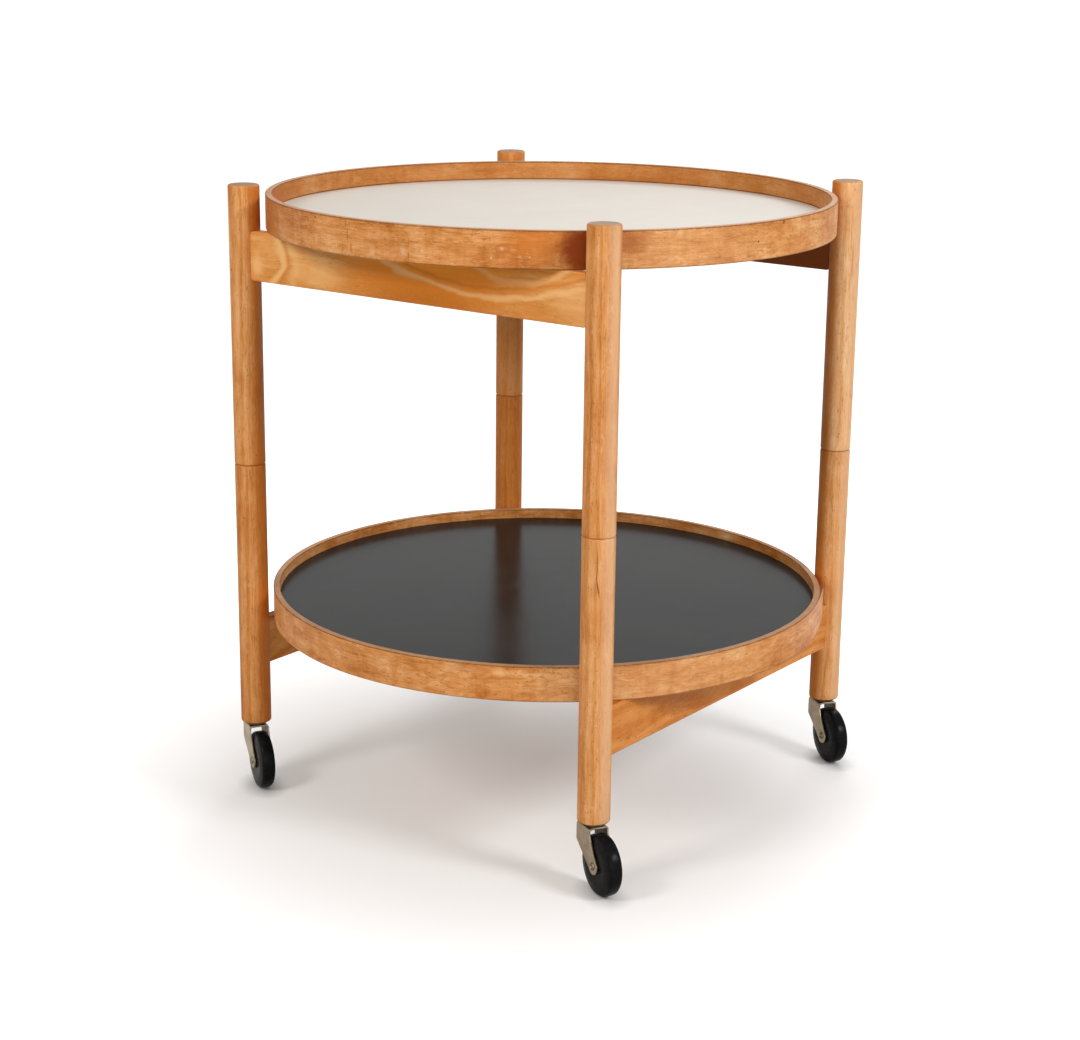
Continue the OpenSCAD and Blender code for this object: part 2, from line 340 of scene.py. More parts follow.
@dataclass(frozen=True)
class Mark:
    """A knot, stain, rubbed patch, painted shade or painted sheen, or, with a ring width, a line
    round a place, in metres.
    """

    place: Point
    reach: Point
    colour: Colour
    strength: float = 0.6
    core: float = 0.2
    ragged: float = 0.0
    ring: float = 0.0

    @classmethod
    def table(cls, *rows: tuple) -> tuple["Mark", ...]:
        """Marks that are as wide in X as in Y.

        Args:
            rows: x, y, z, half width, half height and colour, and the rest as a mark has it.

        Returns:
            The marks.
        """
        return tuple(cls((x, y, z), (wide, wide, tall), *rest)
                     for x, y, z, wide, tall, *rest in rows)

    def lay(self, bench: ShaderBench, under: Socket, fray: Socket, bend: Socket) -> Socket:
        """Lays the mark over a colour.

        Args:
            bench: the material being built.
            under: the colour under the mark.
            fray: a fine noise that frays the mark's edge.
            bend: a coarse noise that bends the line, where the mark is one.

        Returns:
            The colour with the mark on it.
        """
        away = bench.vector("SUBTRACT", bench.place, self.place)
        scaled = bench.vector("DIVIDE", away, self.reach)
        far = bench.vector("LENGTH", scaled)
        if self.ragged:
            far = bench.calc("MULTIPLY_ADD", bend if self.ring else fray, self.ragged, far)
            far = bench.calc("SUBTRACT", far, 0.5 * self.ragged)
        if self.ring:
            far = bench.calc("ABSOLUTE", bench.calc("SUBTRACT", far, 1.0))
            far = bench.calc("DIVIDE", far, self.ring)
        share = bench.fit(far, self.core, 1.0, self.strength, 0.0, soft=True)
        return bench.mix(share, under, self.colour)


@dataclass(frozen=True)
class Figure:
    """Rings of growth that show as a flamed figure, centred on a line."""

    centre: Point
    axis: Grain
    ring: float
    strength: float
    sway: float = 0.02
    sway_scale: Point = (5.0, 5.0, 5.0)

    def draw(self, bench: ShaderBench, shift: Point) -> Socket:
        """Draws the rings.

        Args:
            bench: the material being built.
            shift: the shift that sets one piece of wood apart from the next.

        Returns:
            What the rings add to the tone of the wood.
        """
        away = bench.vector("SUBTRACT", bench.place, self.centre)
        drift = bench.add("TexNoise", {"Vector": bench.stretch(self.sway_scale, shift),
                                       "Scale": 1.0, "Detail": 3.0, "Roughness": 0.5})
        drift = bench.vector("SUBTRACT", drift.outputs["Color"], (0.5, 0.5, 0.5))
        push = bench.vector("MULTIPLY", drift, (self.sway,) * 3)
        bent = bench.vector("ADD", away, push)
        bent = bench.vector("MULTIPLY", bent, self.axis.scale(0.0, 1.0))
        far = bench.vector("LENGTH", bent)
        rings = bench.noise_line(far, 1.0 / self.ring, 2.5)
        line = bench.calc("SUBTRACT", bench.fit(rings, 0.36, 0.64, soft=True), 0.5)
        return bench.calc("MULTIPLY", line, self.strength)


@dataclass(frozen=True)
class HoneyWood:
    """Old oiled beech, honey coloured and worn, with fibres, pores, rings and marks."""

    name: str
    grain: Grain
    palette: tuple[Colour, ...] = (
        (0.27, 0.066, 0.008), (0.44, 0.146, 0.028), (0.61, 0.258, 0.076),
        (0.73, 0.400, 0.175), (0.84, 0.590, 0.350),
    )
    tone: float = 0.5
    streaks: float = 0.5
    blotch: float = 0.6
    mottle: float = 0.5
    wear: float = 0.5
    crackle: float = 0.3
    shift: Point = (0.0, 0.0, 0.0)
    figures: tuple[Figure, ...] = ()
    marks: tuple[Mark, ...] = ()
    gloss: float = 0.48
    pore_colour: Colour = (0.26, 0.078, 0.016)
    vein_colour: Colour = (0.26, 0.075, 0.018)
    bare_colour: Colour = (0.90, 0.66, 0.43)
    speck_colour: Colour = (0.14, 0.040, 0.012)

    def pattern(self, bench: ShaderBench, along: float, scale: float, across: float = 1.0,
                detail: float = 2.0, rough: float = 0.5, warp: float = 0.0) -> Socket:
        """A noise drawn out along the fibres.

        Args:
            bench: the material being built.
            along: the stretch along the fibres, small for long streaks.
            scale: how fine the noise is.
            across: the stretch across the fibres.
            detail: the octaves laid over it.
            rough: the weight of each octave against the one before.
            warp: how much it is distorted.

        Returns:
            The noise's socket.
        """
        place = bench.stretch(self.grain.scale(along, across), self.shift)
        return bench.noise(place, scale, detail, rough, warp)

    def tones(self, bench: ShaderBench) -> Socket:
        """The lightness of the wood, from streaks, blotches, bands and rings.

        Args:
            bench: the material being built.

        Returns:
            The lightness from dark 0 to pale 1.
        """
        layers = [
            (0.75 * self.streaks, dict(along=0.05, scale=150.0, detail=5.0, rough=0.70, warp=0.6)),
            (0.60 * self.streaks, dict(along=0.08, scale=850.0, detail=3.0, rough=0.65)),
            (1.60 * self.blotch, dict(along=0.55, scale=22.0, detail=3.0, rough=0.55, warp=0.8)),
            (1.50 * self.mottle, dict(along=0.30, scale=150.0, detail=4.0, rough=0.70, warp=0.9)),
        ]
        if self.grain is Grain.ROUND:
            bands = dict(along=1.0, across=0.10, scale=75.0, detail=4.0, rough=0.65, warp=0.4)
            layers.insert(0, (0.75 * self.blotch, bands))
        tone: object = self.tone
        for amount, shape in layers:
            value = bench.calc("SUBTRACT", self.pattern(bench, **shape), 0.5)
            tone = bench.calc("MULTIPLY_ADD", value, amount, tone)
        for figure in self.figures:
            tone = bench.calc("ADD", figure.draw(bench, self.shift), tone)
        return tone

    def build(self) -> Finish:
        """Builds the wood: tones, then pores, veins, bare flecks, specks and marks, then relief.

        Returns:
            The material.
        """
        bench = ShaderBench(self.name)
        steps = len(self.palette) - 1
        stops = [(i / steps, colour) for i, colour in enumerate(self.palette)]
        colour = bench.ramp(self.tones(bench), stops)
        pores = self.pattern(bench, along=0.22, scale=620.0, warp=1.0)
        colour = bench.mix(bench.fit(pores, 0.62, 0.70, 0.0, 0.55), colour, self.pore_colour)
        veil = bench.noise(bench.stretch((1.0, 1.0, 1.0), (0.7, 5.1, 2.2)), 24.0, 2.0)
        vein = self.pattern(bench, along=0.35, scale=70.0, detail=3.0, rough=0.6, warp=1.5)
        vein = bench.calc("ABSOLUTE", bench.calc("SUBTRACT", vein, 0.5))
        line = bench.calc("MULTIPLY", bench.fit(vein, 0.004, 0.016, 1.0, 0.0),
                          bench.fit(veil, 0.48, 0.60))
        colour = bench.mix(bench.calc("MULTIPLY", line, self.crackle), colour, self.vein_colour)
        flecks = bench.stretch(self.grain.scale(0.45, 1.0), (3.1, 1.7, 0.4))
        flecks = bench.noise(flecks, 300.0, 4.0, 0.65, 0.6)
        bare = bench.calc("MULTIPLY", bench.fit(flecks, 0.57, 0.72), bench.fit(veil, 0.52, 0.42))
        colour = bench.mix(bench.calc("MULTIPLY", bare, self.wear), colour, self.bare_colour)
        fray = bench.noise(bench.place, 300.0, 3.0, 0.65)
        specks = bench.noise(bench.stretch((1.0, 1.0, 1.0), (1.3, 0.2, 4.4)), 430.0, 1.0)
        colour = bench.mix(bench.fit(specks, 0.74, 0.77, 0.0, 0.6), colour, self.speck_colour)
        bend = self.pattern(bench, along=0.5, scale=45.0, detail=4.0, rough=0.55)
        for mark in self.marks:
            colour = mark.lay(bench, colour, fray, bend)
        rough = bench.calc("MULTIPLY_ADD", bench.calc("SUBTRACT", veil, 0.5), 0.30, self.gloss)
        rough = bench.calc("MULTIPLY_ADD", bare, 0.15, rough)
        grit = self.pattern(bench, along=0.08, scale=1300.0, rough=0.6)
        normal = bench.bump(grit, 0.00010, 0.6)
        normal = bench.bump(bench.calc("MAXIMUM", line, pores), 0.00012, 0.4, normal)
        normal = bench.bump(veil, 0.0010, 0.35, normal)
        return bench.surface(Base_Color=colour, Roughness=rough, Normal=normal,
                             Specular_IOR_Level=0.12)


@dataclass(frozen=True)
class Laminate:
    """Thin hard laminate with a fine pebbled face, faint wiping marks and dust."""

    name: str
    colour: Colour
    cloud_colour: Colour
    cloud: float
    rough: float
    shine: float
    edge_tint: float = 0.0
    edge_from: float = 0.2615
    edge_to: float = 0.2672
    edge_colour: Colour = (0.72, 0.50, 0.28)
    pebble: float = 0.00003

    def build(self) -> Finish:
        """Builds the laminate: haze, wiping marks, dust and a warm tan band at its edge, next to
        the hoop.

        Returns:
            The material.
        """
        bench = ShaderBench(self.name)
        haze = bench.noise(bench.place, 7.0, 4.0, 0.6, 0.8)
        wipes = bench.stretch((1.0, 0.12, 1.0), turn=(0, 0, 28))
        wipes = bench.noise(wipes, 60.0, 3.0, 0.6, 0.6)
        grit = bench.noise(bench.place, 2600.0, 1.0)
        dust = bench.noise(bench.stretch((1, 1, 1), (2.0, 7.0, 1.0)), 420.0, 1.0)
        colour: object = self.colour
        for value, low, high, most in ((haze, 0.35, 0.70, 1.0), (wipes, 0.55, 0.75, 0.4),
                                       (dust, 0.76, 0.80, 0.5)):
            share = bench.fit(value, low, high, 0.0, most * self.cloud)
            colour = bench.mix(share, colour, self.cloud_colour)
        across = bench.vector("MULTIPLY", bench.place, (1.0, 1.0, 0.0))
        far = bench.vector("LENGTH", across)
        far = bench.calc("MULTIPLY_ADD", haze, 0.0006, far)
        share = bench.fit(far, self.edge_from, self.edge_to, 0.0, self.edge_tint, soft=True)
        colour = bench.mix(share, colour, self.edge_colour)
        rough = bench.calc("MULTIPLY_ADD", haze, 0.12, self.rough - 0.06)
        rough = bench.calc("MULTIPLY_ADD", bench.fit(wipes, 0.5, 0.8), 0.05, rough)
        normal = bench.bump(grit, self.pebble, 0.5)
        normal = bench.bump(haze, 0.0012, 0.25, normal)
        return bench.surface(Base_Color=colour, Roughness=rough, Normal=normal,
                             Specular_IOR_Level=self.shine)


@dataclass(frozen=True)
class AgedMetal:
    """Plated or turned steel, dulled and browned by age; some of it is made near black as painted
    shade.
    """

    name: str
    colour: Colour
    tarnish_and_shade: Colour
    rough: float = 0.36
    spots: float = 0.5

    def build(self) -> Finish:
        """Builds the metal: tarnish, pits and fine brushing.

        Returns:
            The material.
        """
        bench = ShaderBench(self.name)
        bloom = bench.noise(bench.place, 90.0, 4.0, 0.6, 0.4)
        brush = bench.noise(bench.stretch((1.0, 1.0, 0.08)), 2400.0, 2.0, 0.6)
        pits = bench.noise(bench.place, 900.0, 2.0)
        colour = bench.mix(bench.fit(bloom, 0.38, 0.66, 0.0, self.spots), self.colour, self.tarnish_and_shade)
        colour = bench.mix(bench.fit(pits, 0.66, 0.74, 0.0, 0.6 * self.spots), colour, self.tarnish_and_shade)
        rough = bench.calc("MULTIPLY_ADD", bloom, 0.20, self.rough - 0.10)
        normal = bench.bump(brush, 0.00004, 0.5)
        normal = bench.bump(pits, 0.00008, 0.4, normal)
        return bench.surface(Base_Color=colour, Metallic=1.0, Roughness=rough, Normal=normal)


@dataclass(frozen=True)
class HardRubber:
    """Black hard rubber, polished by use, with dull rings of floor dust."""

    name: str
    colour: Colour = (0.0045, 0.0045, 0.0050)
    dust: Colour = (0.020, 0.018, 0.016)
    rough: float = 0.26

    def build(self) -> Finish:
        """Builds the rubber: smears and dust over a polished black.

        Returns:
            The material.
        """
        bench = ShaderBench(self.name)
        smear = bench.noise(bench.place, 120.0, 4.0, 0.6, 0.5)
        grit = bench.noise(bench.place, 1400.0, 2.0)
        colour = bench.mix(bench.fit(smear, 0.50, 0.75, 0.0, 0.30), self.colour, self.dust)
        colour = bench.mix(bench.fit(grit, 0.68, 0.78, 0.0, 0.35), colour, self.dust)
        rough = bench.calc("MULTIPLY_ADD", smear, 0.16, self.rough - 0.08)
        normal = bench.bump(grit, 0.00005, 0.30)
        normal = bench.bump(smear, 0.0003, 0.20, normal)
        return bench.surface(Base_Color=colour, Roughness=rough, Normal=normal,
                             Specular_IOR_Level=0.045)


# ---------------------------------------------------------------- marks on the wood


DOT = (0.06, 0.02, 0.008)
KNOT = (0.16, 0.045, 0.012)
DRIP = (0.33, 0.110, 0.028)
STAIN = (0.36, 0.10, 0.022)
RESIN = (0.50, 0.13, 0.035)
# Painted shade, for the sides of posts that face away from the light.
SHADE = (0.50, 0.120, 0.003)
BROWN = (0.76, 0.222, 0.014)
# Painted sheen, for the sides of posts that face the key light.
PAINTED_SHEEN = (0.80, 0.520, 0.310)
PALE = (0.84, 0.490, 0.200)
BARE = (0.86, 0.58, 0.34)

TOP_TRAY_MARKS = Mark.table(
    (0, 0, 0.5742, 0.2690, ENDLESS, (0.42, 0.145, 0.030), 0.45, 0.994),
    (0, 0, 0.5722, 0.2735, 0.0060, (0.12, 0.040, 0.012), 0.85, 0.975),
    (-0.2000, -0.1870, 0.5740, 0.140, 0.060, (0.38, 0.100, 0.011), 0.80, 0.2),
    (-0.1695, -0.2147, 0.5800, 0.0011, 0.0115, (0.33, 0.070, 0.020), 0.80, 0.3, 0.5),
    (-0.1329, -0.2391, 0.5889, 0.0010, 0.0012, DOT, 0.7, 0.3),
    (-0.1089, -0.2510, 0.5840, 0.0014, 0.0070, DRIP, 0.50, 0.2, 0.9),
    (-0.0957, -0.2562, 0.5905, 0.0010, 0.0012, DOT, 0.7, 0.3),
    (-0.0642, -0.2659, 0.5872, 0.0014, 0.0014, DOT, 0.9, 0.4),
    (-0.0663, -0.2654, 0.5675, 0.0030, 0.0030, DRIP, 0.45, 0.1, 1.5),
    (-0.0290, -0.2720, 0.5905, 0.0040, 0.0010, DRIP, 0.60, 0.2, 0.8),
    (-0.0225, -0.2726, 0.5850, 0.0012, 0.0040, DRIP, 0.55, 0.2, 0.8),
    (-0.0200, -0.2728, 0.5770, 0.0010, 0.0090, DRIP, 0.60, 0.2, 0.6),
    (-0.0262, -0.2723, 0.5650, 0.0011, 0.0060, DRIP, 0.65, 0.2, 0.6),
    (-0.0160, -0.2731, 0.5655, 0.0011, 0.0070, DRIP, 0.75, 0.2, 0.6),
    (0.0091, -0.2734, 0.5650, 0.0050, 0.0070, BARE, 0.35, 0.1, 0.4),
    (0.0410, -0.2705, 0.5677, 0.0045, 0.0080, BARE, 0.40, 0.1, 0.5),
    (0.0464, -0.2696, 0.5760, 0.0010, 0.0060, DRIP, 0.55, 0.2, 0.8),
    (0.0464, -0.2696, 0.5640, 0.0014, 0.0045, DRIP, 0.75, 0.3, 0.6),
    (0.0540, -0.2682, 0.5764, 0.0045, 0.0006, DRIP, 0.55, 0.2, 0.6),
    (0.0550, -0.2680, 0.5720, 0.0035, 0.0005, DRIP, 0.45, 0.2, 0.6),
    (0.0897, -0.2584, 0.5787, 0.0040, 0.0009, BARE, 0.40, 0.1, 0.6),
    (0.1266, -0.2425, 0.5747, 0.0062, 0.0036, (0.36, 0.120, 0.025), 0.50, 0.1, 1.2, 0.35),
    (0.1266, -0.2425, 0.5747, 0.0030, 0.0026, BARE, 0.45, 0.1, 0.3),
    (0.1124, -0.2494, 0.5739, 0.0050, 0.0016, (0.36, 0.120, 0.025), 0.45, 0.1, 1.0),
    (0.1356, -0.2375, 0.5740, 0.0045, 0.0010, BARE, 0.40, 0.1, 0.6),
    (0.1182, -0.2467, 0.5666, 0.0014, 0.0014, BARE, 0.60, 0.1, 0.3),
    (0.1473, -0.2305, 0.5680, 0.0014, 0.0016, BARE, 0.60, 0.1, 0.3),
    # Painted shadow of the front post on the hoop: darkest beside the post, a warmer brown further
    # left.
    (0.1540, -0.2260, 0.5800, 0.045, 0.022, (0.56, 0.165, 0.018), 0.60, 0.2, 0.5),
    (0.1830, -0.2030, 0.5740, 0.027, 0.028, (0.22, 0.034, 0.0), 0.97, 0.4, 0.5),
    (0.2673, -0.0580, 0.5741, 0.0014, 0.0014, DOT, 0.95, 0.5),
    (0.2725, -0.0244, 0.5886, 0.0016, 0.0022, DOT, 0.8, 0.4),
    (0.2141, -0.1703, 0.5834, 0.024, 0.014, (0.36, 0.090, 0.012), 0.60, 0.1, 0.6),
    (0.0300, -0.2720, 0.5720, 0.040, 0.014, STAIN, 0.20, 0.1, 0.8),
)
LOWER_TRAY_MARKS = Mark.table(
    (0.1023, -0.2537, 0.1965, 0.022, 0.006, STAIN, 0.40, 0.2, 0.8),
    (0.1272, -0.2422, 0.1960, 0.010, 0.005, (0.75, 0.45, 0.22), 0.5, 0.2, 0.6),
    (-0.0370, -0.2710, 0.1935, 0.008, 0.008, STAIN, 0.35, 0.2, 0.8),
)
RAIL_MARKS = {
    "top_rail_front": tuple(
        Mark((x, -0.214, z), (wide, deep, tall), *rest) for x, z, wide, deep, tall, *rest in (
            (-0.110, 0.524, 0.050, 0.05, 0.020, PALE, 0.50, 0.2, 0.5),
            (-0.145, 0.545, 0.060, 0.05, 0.020, PALE, 0.30, 0.2, 0.5),
            # Partly the rail's own colour, partly painted light: the brown middle also stands for
            # the warm shade under the hoop, the brighter band just under the hoop is painted light
            # that offsets the hoop's cast shadow, and the darker band below it is painted shade.
            (0.020, 0.536, 0.130, 0.05, 0.034, BROWN, 0.80, 0.4, 0.5),
            (0.020, 0.553, 0.150, 0.05, 0.016, (0.90, 0.320, 0.030), 0.70, 0.3, 0.5),
            (0.020, 0.508, 0.150, 0.05, 0.022, (0.46, 0.130, 0.010), 0.75, 0.2, 0.4),
            (0.195, 0.532, 0.060, 0.05, 0.030, PALE, 0.40, 0.2, 0.5),
            (-0.186, 0.526, 0.013, 0.05, 0.018, PALE, 0.75, 0.1, 0.3),
            (-0.186, 0.536, 0.021, 0.05, 0.022, (0.68, 0.290, 0.075), 0.30, 0.2, 0.3, 0.30),
            (-0.186, 0.536, 0.034, 0.05, 0.030, PALE, 0.75, 0.1, 0.5, 0.20),
            (-0.186, 0.536, 0.040, 0.05, 0.036, (0.50, 0.140, 0.012), 0.40, 0.1, 0.5, 0.10),
            (-0.186, 0.532, 0.049, 0.05, 0.042, PALE, 0.35, 0.1, 0.4, 0.14),
            (-0.186, 0.532, 0.062, 0.05, 0.052, BROWN, 0.20, 0.1, 0.4, 0.12),
            (0.085, 0.6565, 0.220, 0.30, 0.130, PALE, 0.70, 0.1, 0.10, 0.028),
            (0.085, 0.6640, 0.220, 0.30, 0.130, (0.46, 0.120, 0.008), 0.40, 0.1, 0.10, 0.020),
            (0.120, 0.600, 0.075, 0.30, 0.060, PALE, 0.50, 0.1, 0.22, 0.08),
            (0.125, 0.602, 0.098, 0.30, 0.064, BROWN, 0.25, 0.1, 0.22, 0.08),
        )
    ),
    # Painted shade: the back rail's inner face is darkened for the deep shade it lies in under the
    # top tray.
    "top_rail_back": (
        Mark((0, POST_AXIS - 0.010, 0.534), (ENDLESS, 0.010, ENDLESS), (0.17, 0.036, 0.005),
             0.92, 0.5),
    ),
}


@dataclass(frozen=True)
class PostLook:
    """How one post looks: the tones of its halves, its marks, and its sides of painted shade and
    painted sheen.

    A side is a heading in degrees, a half width, a half height and a colour, and the rest as a
    mark has it.
    """

    upper_tone: float
    lower_tone: float
    marks: tuple[Mark, ...]
    sides: tuple[tuple, ...] = ()


POST_LOOKS = {
    "left": PostLook(0.47, 0.40, Mark.table(
        (-0.2120, -0.2218, 0.520, 0.0012, 0.0018, KNOT, 0.8, 0.4),
        (-0.2000, -0.2205, 0.250, 0.006, 0.050, (0.46, 0.17, 0.040), 0.4, 0.1, 0.6),
    ), (
        (8.0, 0.0125, ENDLESS, SHADE, 0.65, 0.3, 0.3),
    )),
    "front": PostLook(0.45, 0.49, Mark.table(
        (0.2223, -0.2051, 0.386, 0.0016, 0.0040, KNOT, 0.8, 0.3),
        (0.2223, -0.2051, 0.386, 0.006, 0.012, (0.40, 0.14, 0.03), 0.5, 0.2, 0.5),
        (0.2195, -0.2150, 0.400, 0.006, 0.040, (0.50, 0.19, 0.050), 0.45, 0.1, 0.6),
        (0.2150, -0.2205, 0.286, 0.004, 0.012, (0.36, 0.12, 0.028), 0.5, 0.1, 0.6),
    ), (
        (-12.0, 0.0105, ENDLESS, PAINTED_SHEEN, 0.45, 0.2, 0.3),
    )),
    "right": PostLook(0.68, 0.53, Mark.table(
        (0.2225, 0.2070, 0.3866, 0.0014, 0.0035, KNOT, 0.8, 0.3),
        (0.2208, 0.2005, 0.521, 0.0020, 0.026, RESIN, 0.85, 0.2, 0.7),
        (0.2170, 0.1955, 0.500, 0.0013, 0.018, RESIN, 0.50, 0.2, 0.9),
    ), (
        (-118.0, 0.0140, ENDLESS, SHADE, 0.65, 0.3, 0.3),
        (-8.0, 0.0105, ENDLESS, PAINTED_SHEEN, 0.45, 0.2, 0.3),
    )),
    "back": PostLook(0.55, 0.37, Mark.table(
        # Painted shade: a redder, less blue tint over the whole back post, for the warm shade it
        # stands in under the top tray.
        (-POST_AXIS, POST_AXIS, 0.3, ENDLESS, ENDLESS, (0.60, 0.155, 0.006), 0.38, 0.9),
    )),
}


# ---------------------------------------------------------------- modelling bench


class Bench:
    """Modelling as by hand: primitives shaped by edit-mode operators."""

    @staticmethod
    def clear() -> None:
        """Leaves edit mode and deselects everything."""
        if bpy.context.object and bpy.context.object.mode != "OBJECT":
            bpy.ops.object.mode_set(mode="OBJECT")
        bpy.ops.object.select_all(action="DESELECT")

    @classmethod
    def hold(cls, piece: Piece) -> None:
        """Makes a piece the only selected and the active one.

        Args:
            piece: the piece.
        """
        cls.clear()
        piece.select_set(True)
        bpy.context.view_layer.objects.active = piece

    @classmethod
    def polyline(cls, name: str, points: list[Point], closed: bool = False) -> Piece:
        """Draws a line by extruding one point after the other.

        Args:
            name: the new piece's name.
            points: where the line goes, in metres.
            closed: whether the last point is joined to the first.

        Returns:
            The piece, in edit mode, with all of the line selected.
        """
        cls.clear()
        bpy.ops.mesh.primitive_plane_add(size=MM, location=(0, 0, 0))
        piece = bpy.context.active_object
        piece.name = piece.data.name = name
        bpy.ops.object.mode_set(mode="EDIT")
        bpy.ops.mesh.select_all(action="SELECT")
        bpy.ops.mesh.merge(type="CENTER")
        bpy.ops.transform.translate(value=points[0])
        for here, there in zip(points, points[1:]):
            step = tuple(b - a for a, b in zip(here, there))
            bpy.ops.mesh.extrude_vertices_move(TRANSFORM_OT_translate={"value": step})
        bpy.ops.mesh.select_all(action="SELECT")
        if closed:
            edit = bmesh.from_edit_mesh(piece.data)
            for vertex in edit.verts:
                vertex.select_set(len(vertex.link_edges) < 2)
            edit.select_flush_mode()
            bmesh.update_edit_mesh(piece.data)
            bpy.ops.mesh.edge_face_add()
            bpy.ops.mesh.select_all(action="SELECT")
        return piece

    @classmethod
    def finish(cls, piece: Piece, smooth: float = 35.0,
               weld: float = 1e-6) -> Piece:
        """Closes a piece: doubles merged, faces outwards, place in the mesh, smooth shading.

        Args:
            piece: the piece, in edit or object mode.
            smooth: the angle in degrees above which an edge stays sharp.
            weld: the distance in metres under which points are merged.

        Returns:
            The finished piece.
        """
        cls.hold(piece)
        bpy.ops.object.mode_set(mode="EDIT")
        bpy.ops.mesh.select_all(action="SELECT")
        bpy.ops.mesh.remove_doubles(threshold=weld)
        bpy.ops.mesh.normals_make_consistent(inside=False)
        bpy.ops.object.mode_set(mode="OBJECT")
        bpy.ops.object.transform_apply(location=True, rotation=True, scale=True)
        bpy.ops.object.shade_smooth_by_angle(angle=math.radians(smooth))
        return piece

    @classmethod
    def turned(cls, name: str, profile: list[tuple[float, float]],
               steps: int) -> Piece:
        """Turns a profile about the Z axis.

        Args:
            name: the new piece's name.
            profile: radius and height of each point, in metres.
            steps: faces round the piece.

        Returns:
            The finished piece.
        """
        piece = cls.polyline(name, [(r, 0.0, z) for r, z in profile])
        bpy.ops.mesh.spin(steps=steps, angle=2 * math.pi, center=(0, 0, 0), axis=(0, 0, 1))
        return cls.finish(piece)

    @classmethod
    def slab(cls, name: str, outline: list[Point], push: Point) -> Piece:
        """Fills a flat outline and extrudes it.

        Args:
            name: the new piece's name.
            outline: the outline's points, in metres.
            push: how far and which way it is extruded.

        Returns:
            The piece, out of edit mode.
        """
        piece = cls.polyline(name, outline, closed=True)
        bpy.ops.mesh.edge_face_add()
        bpy.ops.mesh.select_all(action="SELECT")
        bpy.ops.mesh.extrude_region_move(TRANSFORM_OT_translate={"value": push})
        return cls.finish(piece)

    @classmethod
    def modify(cls, piece: Piece, kind: str, **settings: object) -> None:
        """Adds a modifier and applies it.

        Args:
            piece: the piece.
            kind: the modifier's type.
            settings: its properties.
        """
        cls.hold(piece)
        modifier = piece.modifiers.new(kind.lower(), kind)
        for key, value in settings.items():
            setattr(modifier, key, value)
        bpy.ops.object.modifier_apply(modifier=modifier.name)

    @classmethod
    def cut(cls, piece: Piece, tool: Piece, how: str = "DIFFERENCE") -> None:
        """Cuts a piece with a tool piece, or keeps what both share, and drops the tool.

        Args:
            piece: the piece.
            tool: the tool piece.
            how: the Boolean operation.
        """
        cls.modify(piece, "BOOLEAN", operation=how, solver="EXACT", object=tool)
        cls.clear()
        tool.select_set(True)
        bpy.ops.object.delete()

    @classmethod
    def ease(cls, piece: Piece, width: float) -> None:
        """Rounds a piece's sharp edges.

        Args:
            piece: the piece.
            width: the width of the rounding.
        """
        cls.modify(piece, "BEVEL", width=width, segments=2, limit_method="ANGLE",
                   angle_limit=math.radians(50), use_clamp_overlap=True)

    @classmethod
    def copy_of(cls, node: str, name: str) -> Piece:
        """A merged copy of a CAD node's mesh, for shaping.

        Args:
            node: the node's name.
            name: the new piece's name.

        Returns:
            The copy.
        """
        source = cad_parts[node]
        piece = bpy.data.objects.new(name, source.data.copy())
        piece.data.name = name
        bpy.context.scene.collection.objects.link(piece)
        cls.hold(piece)
        bpy.ops.mesh.customdata_custom_splitnormals_clear()
        bpy.ops.object.mode_set(mode="EDIT")
        bpy.ops.mesh.select_all(action="SELECT")
        bpy.ops.mesh.remove_doubles(threshold=1e-6)
        bpy.ops.object.mode_set(mode="OBJECT")
        return piece

    @classmethod
    def placed(cls, pattern: Piece, name: str, where: Matrix) -> Piece:
        """A copy of a pattern piece with its own mesh, put in its place.

        Args:
            pattern: the pattern piece.
            name: the new piece's name.
            where: the turn and shift from the pattern to its place.

        Returns:
            The copy.
        """
        mesh = pattern.data.copy()
        mesh.name = name
        mesh.transform(where)
        piece = bpy.data.objects.new(name, mesh)
        bpy.context.scene.collection.objects.link(piece)
        return piece


def dress(target: Piece, *finishes: Finish) -> None:
    """Gives a piece its material, or one for each of its numbered sets of faces.

    Args:
        target: the piece.
        finishes: the materials, in the order of the sets.
    """
    if target.data.materials:
        target.data.materials.clear()
    for finish in finishes:
        target.data.materials.append(finish)
    log.info("dressed %s", target.name)


def arc(centre: tuple[float, float], radius: float, start: float, end: float,
        steps: int) -> list[tuple[float, float]]:
    """Points on an arc.

    Args:
        centre: the arc's centre.
        radius: its radius.
        start: the angle of its first point, in degrees.
        end: the angle of its last point.
        steps: how many parts it has.

    Returns:
        The points.
    """
    angles = [math.radians(start + (end - start) * i / steps) for i in range(steps + 1)]
    return [(centre[0] + radius * math.cos(a), centre[1] + radius * math.sin(a)) for a in angles]


def sweep(start: tuple[float, float], pull: tuple[float, float], end: tuple[float, float],
          steps: int) -> list[tuple[float, float]]:
    """Points on a quadratic curve.

    Args:
        start: its first point.
        pull: the point that it bends towards.
        end: its last point.
        steps: how many parts it has.

    Returns:
        The points, without the last.
    """
    points = []
    for i in range(steps):
        t = i / steps
        points.append(tuple((1 - t) ** 2 * a + 2 * t * (1 - t) * b + t * t * c
                            for a, b, c in zip(start, pull, end)))
    return points


# ---------------------------------------------------------------- frame


